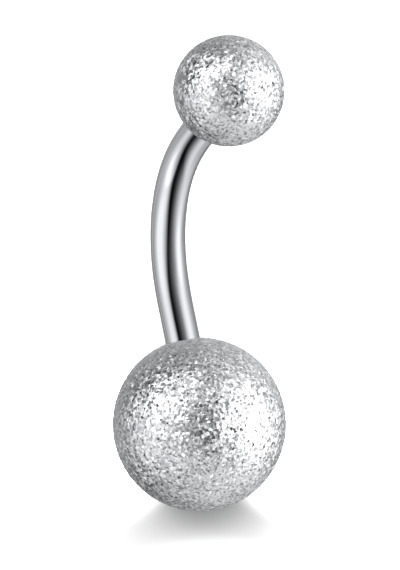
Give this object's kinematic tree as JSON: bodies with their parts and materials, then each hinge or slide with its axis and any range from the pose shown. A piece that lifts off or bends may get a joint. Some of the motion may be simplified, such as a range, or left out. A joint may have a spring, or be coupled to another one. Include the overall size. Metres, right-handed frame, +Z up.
{
  "type": "navel ring",
  "caption": "Curved barbell navel ring: a polished bent bar between a large and a small screw-on ball with a sparkling grained finish.",
  "frame": {"origin": "middle of the base of the bounding box, on the surface that the ring lies on", "axes": "+X from the large ball to the small ball, +Y towards the outside of the bar's bend, +Z up from the surface"},
  "size_m": [0.023, 0.0084, 0.008],
  "materials": {
    "polished_steel": "mirror polished surgical steel",
    "sparkle_steel": "coarse sparkling grain cut into steel, bright and unplated"
  },
  "bodies": {
    "bar": {"bar": "polished_steel"},
    "small_ball": {"small_ball": "sparkle_steel"},
    "large_ball": {"large_ball": "sparkle_steel"}
  },
  "joints": [
    {"name": "small_ball_unscrew", "type": "slide", "parent": "bar", "child": "small_ball", "axis": [0.8157, -0.5137, 0.266], "range_m": [0, 0.006]},
    {"name": "large_ball_unscrew", "type": "slide", "parent": "bar", "child": "large_ball", "axis": [-0.8179, -0.4427, 0.3674], "range_m": [0, 0.006]}
  ]
}
